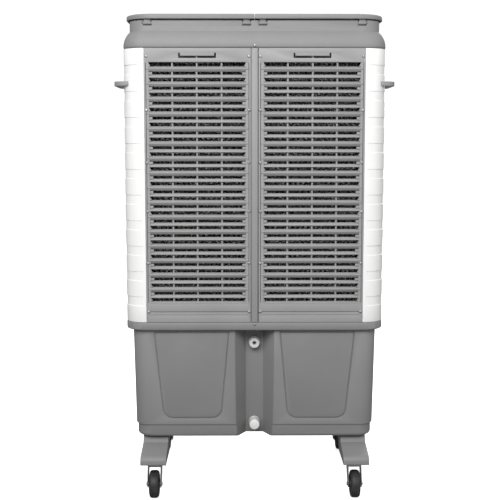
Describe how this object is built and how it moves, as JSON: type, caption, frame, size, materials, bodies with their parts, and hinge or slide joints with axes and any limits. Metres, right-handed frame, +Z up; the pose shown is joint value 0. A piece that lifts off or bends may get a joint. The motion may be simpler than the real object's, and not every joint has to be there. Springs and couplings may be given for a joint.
{
  "type": "evaporative cooler",
  "caption": "Tall wheeled evaporative air cooler: louvred rear intake over wet pads, axial fan, front outlet vanes, water tank, lidded ice bays, swivel casters.",
  "frame": {"origin": "on the floor, under the middle of the cooler", "axes": "+Z up, -Y towards the rear air intake, +Y towards the front air outlet, +X to the right seen from the rear"},
  "size_m": [0.75, 0.552, 1.3],
  "materials": {
    "grey_plastic": "fine moulded texture, satin",
    "white_plastic": "smooth moulded, soft gloss",
    "light_plastic": "smooth moulded",
    "black_plastic": "moulded, satin",
    "cooling_pad": "resin-stiffened corrugated cellulose",
    "motor_paint": "sprayed enamel",
    "zinc_steel": "bright zinc plate",
    "caster_rubber": "dull tread, moulded hub"
  },
  "bodies": {
    "root": {"water_tank": "grey_plastic", "deck_tray": "grey_plastic", "rear_frame": "grey_plastic", "center_post": "grey_plastic", "top_housing": "grey_plastic", "left_pad_grille": "grey_plastic", "right_pad_grille": "grey_plastic", "left_handle": "grey_plastic", "right_handle": "grey_plastic", "front_panel": "grey_plastic", "rear_left_leg": "grey_plastic", "rear_right_leg": "grey_plastic", "front_left_leg": "grey_plastic", "front_right_leg": "grey_plastic", "left_side_panel": "white_plastic", "right_side_panel": "white_plastic", "riser_hose": "light_plastic", "water_trough": "light_plastic", "inlet_valve": "light_plastic", "drain_outlet": "light_plastic", "control_panel": "black_plastic", "fan_shroud": "black_plastic", "water_pump": "black_plastic", "left_cooling_pad": "cooling_pad", "right_cooling_pad": "cooling_pad", "fan_motor": "motor_paint", "motor_bracket": "zinc_steel"},
    "left_lid_body": {"left_lid": "grey_plastic"},
    "right_lid_body": {"right_lid": "grey_plastic"},
    "fan": {"fan_rotor": "black_plastic"},
    "knob": {"speed_knob": "light_plastic"},
    "button_1": {"push_button_1": "light_plastic"},
    "button_2": {"push_button_2": "light_plastic"},
    "button_3": {"push_button_3": "light_plastic"},
    "upright_vane_1_body": {"upright_vane_1": "grey_plastic"},
    "upright_vane_2_body": {"upright_vane_2": "grey_plastic"},
    "upright_vane_3_body": {"upright_vane_3": "grey_plastic"},
    "upright_vane_4_body": {"upright_vane_4": "grey_plastic"},
    "upright_vane_5_body": {"upright_vane_5": "grey_plastic"},
    "upright_link": {"upright_link_bar": "grey_plastic"},
    "level_vane_1_body": {"level_vane_1": "grey_plastic"},
    "level_vane_2_body": {"level_vane_2": "grey_plastic"},
    "level_vane_3_body": {"level_vane_3": "grey_plastic"},
    "level_vane_4_body": {"level_vane_4": "grey_plastic"},
    "level_vane_5_body": {"level_vane_5": "grey_plastic"},
    "level_link": {"level_link_bar": "grey_plastic"},
    "float": {"float_arm": "light_plastic"},
    "cap": {"drain_cap": "light_plastic"},
    "rear_left_caster": {"rear_left_caster_fork": "zinc_steel", "rear_left_caster_axle": "zinc_steel"},
    "rear_left_wheel": {"rear_left_caster_wheel": "caster_rubber"},
    "rear_right_caster": {"rear_right_caster_fork": "zinc_steel", "rear_right_caster_axle": "zinc_steel"},
    "rear_right_wheel": {"rear_right_caster_wheel": "caster_rubber"},
    "front_left_caster": {"front_left_caster_fork": "zinc_steel", "front_left_caster_axle": "zinc_steel"},
    "front_left_wheel": {"front_left_caster_wheel": "caster_rubber"},
    "front_right_caster": {"front_right_caster_fork": "zinc_steel", "front_right_caster_axle": "zinc_steel"},
    "front_right_wheel": {"front_right_caster_wheel": "caster_rubber"}
  },
  "joints": [
    {"name": "left_lid_hinge", "type": "hinge", "parent": "root", "child": "left_lid_body", "pos_m": [-0.15225, -0.2015, 1.2765], "axis": [1, 0, 0], "range_deg": [0, 95]},
    {"name": "right_lid_hinge", "type": "hinge", "parent": "root", "child": "right_lid_body", "pos_m": [0.15225, -0.2015, 1.2765], "axis": [1, 0, 0], "range_deg": [0, 95]},
    {"name": "fan_spin", "type": "hinge", "parent": "root", "child": "fan", "pos_m": [0, 0, 0.845], "axis": [0, 1, 0], "continuous": true},
    {"name": "speed_knob_turn", "type": "hinge", "parent": "root", "child": "knob", "pos_m": [-0.085, 0.2245, 1.152], "axis": [0, 1, 0], "range_deg": [0, 270]},
    {"name": "push_button_1_press", "type": "slide", "parent": "root", "child": "button_1", "axis": [0, -1, 0], "range_m": [0, 0.0025], "stiffness_N_per_m": 300},
    {"name": "push_button_2_press", "type": "slide", "parent": "root", "child": "button_2", "axis": [0, -1, 0], "range_m": [0, 0.0025], "stiffness_N_per_m": 300},
    {"name": "push_button_3_press", "type": "slide", "parent": "root", "child": "button_3", "axis": [0, -1, 0], "range_m": [0, 0.0025], "stiffness_N_per_m": 300},
    {"name": "upright_vane_1_swing", "type": "hinge", "parent": "root", "child": "upright_vane_1_body", "pos_m": [-0.18, 0.155, 0.845], "axis": [0, 0, 1], "range_deg": [-35, 35]},
    {"name": "upright_vane_2_swing", "type": "hinge", "parent": "root", "child": "upright_vane_2_body", "pos_m": [-0.09, 0.155, 0.845], "axis": [0, 0, 1], "range_deg": [-35, 35]},
    {"name": "upright_vane_3_swing", "type": "hinge", "parent": "root", "child": "upright_vane_3_body", "pos_m": [0, 0.155, 0.845], "axis": [0, 0, 1], "range_deg": [-35, 35]},
    {"name": "upright_vane_4_swing", "type": "hinge", "parent": "root", "child": "upright_vane_4_body", "pos_m": [0.09, 0.155, 0.845], "axis": [0, 0, 1], "range_deg": [-35, 35]},
    {"name": "upright_vane_5_swing", "type": "hinge", "parent": "root", "child": "upright_vane_5_body", "pos_m": [0.18, 0.155, 0.845], "axis": [0, 0, 1], "range_deg": [-35, 35]},
    {"name": "upright_link_pivot", "type": "hinge", "parent": "upright_vane_1_body", "child": "upright_link", "pos_m": [-0.18, 0.135, 1.0805], "axis": [0, 0, 1], "range_deg": [-35, 35]},
    {"name": "level_vane_1_tilt", "type": "hinge", "parent": "root", "child": "level_vane_1_body", "pos_m": [0, 0.2, 1.025], "axis": [1, 0, 0], "range_deg": [-30, 30]},
    {"name": "level_vane_2_tilt", "type": "hinge", "parent": "root", "child": "level_vane_2_body", "pos_m": [0, 0.2, 0.935], "axis": [1, 0, 0], "range_deg": [-30, 30]},
    {"name": "level_vane_3_tilt", "type": "hinge", "parent": "root", "child": "level_vane_3_body", "pos_m": [0, 0.2, 0.845], "axis": [1, 0, 0], "range_deg": [-30, 30]},
    {"name": "level_vane_4_tilt", "type": "hinge", "parent": "root", "child": "level_vane_4_body", "pos_m": [0, 0.2, 0.755], "axis": [1, 0, 0], "range_deg": [-30, 30]},
    {"name": "level_vane_5_tilt", "type": "hinge", "parent": "root", "child": "level_vane_5_body", "pos_m": [0, 0.2, 0.665], "axis": [1, 0, 0], "range_deg": [-30, 30]},
    {"name": "level_link_pivot", "type": "hinge", "parent": "level_vane_1_body", "child": "level_link", "pos_m": [0.2405, 0.188, 1.025], "axis": [1, 0, 0], "range_deg": [-30, 30]},
    {"name": "float_swing", "type": "hinge", "parent": "root", "child": "float", "pos_m": [0, -0.123, 0.3966], "axis": [1, 0, 0], "range_deg": [0, 40]},
    {"name": "drain_cap_pull", "type": "slide", "parent": "root", "child": "cap", "axis": [0, -1, 0], "range_m": [0, 0.03]},
    {"name": "rear_left_caster_swivel", "type": "hinge", "parent": "root", "child": "rear_left_caster", "pos_m": [-0.2735, -0.21, 0.09], "axis": [0, 0, 1], "continuous": true},
    {"name": "rear_left_wheel_roll", "type": "hinge", "parent": "rear_left_caster", "child": "rear_left_wheel", "pos_m": [-0.2735, -0.238, 0.0375], "axis": [1, 0, 0], "continuous": true},
    {"name": "rear_right_caster_swivel", "type": "hinge", "parent": "root", "child": "rear_right_caster", "pos_m": [0.2735, -0.21, 0.09], "axis": [0, 0, 1], "continuous": true},
    {"name": "rear_right_wheel_roll", "type": "hinge", "parent": "rear_right_caster", "child": "rear_right_wheel", "pos_m": [0.2735, -0.238, 0.0375], "axis": [1, 0, 0], "continuous": true},
    {"name": "front_left_caster_swivel", "type": "hinge", "parent": "root", "child": "front_left_caster", "pos_m": [-0.2735, 0.21, 0.09], "axis": [0, 0, 1], "continuous": true},
    {"name": "front_left_wheel_roll", "type": "hinge", "parent": "front_left_caster", "child": "front_left_wheel", "pos_m": [-0.2735, 0.182, 0.0375], "axis": [1, 0, 0], "continuous": true},
    {"name": "front_right_caster_swivel", "type": "hinge", "parent": "root", "child": "front_right_caster", "pos_m": [0.2735, 0.21, 0.09], "axis": [0, 0, 1], "continuous": true},
    {"name": "front_right_wheel_roll", "type": "hinge", "parent": "front_right_caster", "child": "front_right_wheel", "pos_m": [0.2735, 0.182, 0.0375], "axis": [1, 0, 0], "continuous": true}
  ],
  "couplings": [
    {"joint": "upright_vane_2_swing", "follows": "upright_vane_1_swing", "ratio": 1},
    {"joint": "upright_vane_3_swing", "follows": "upright_vane_1_swing", "ratio": 1},
    {"joint": "upright_vane_4_swing", "follows": "upright_vane_1_swing", "ratio": 1},
    {"joint": "upright_vane_5_swing", "follows": "upright_vane_1_swing", "ratio": 1},
    {"joint": "upright_link_pivot", "follows": "upright_vane_1_swing", "ratio": -1},
    {"joint": "level_vane_2_tilt", "follows": "level_vane_1_tilt", "ratio": 1},
    {"joint": "level_vane_3_tilt", "follows": "level_vane_1_tilt", "ratio": 1},
    {"joint": "level_vane_4_tilt", "follows": "level_vane_1_tilt", "ratio": 1},
    {"joint": "level_vane_5_tilt", "follows": "level_vane_1_tilt", "ratio": 1},
    {"joint": "level_link_pivot", "follows": "level_vane_1_tilt", "ratio": -1}
  ]
}
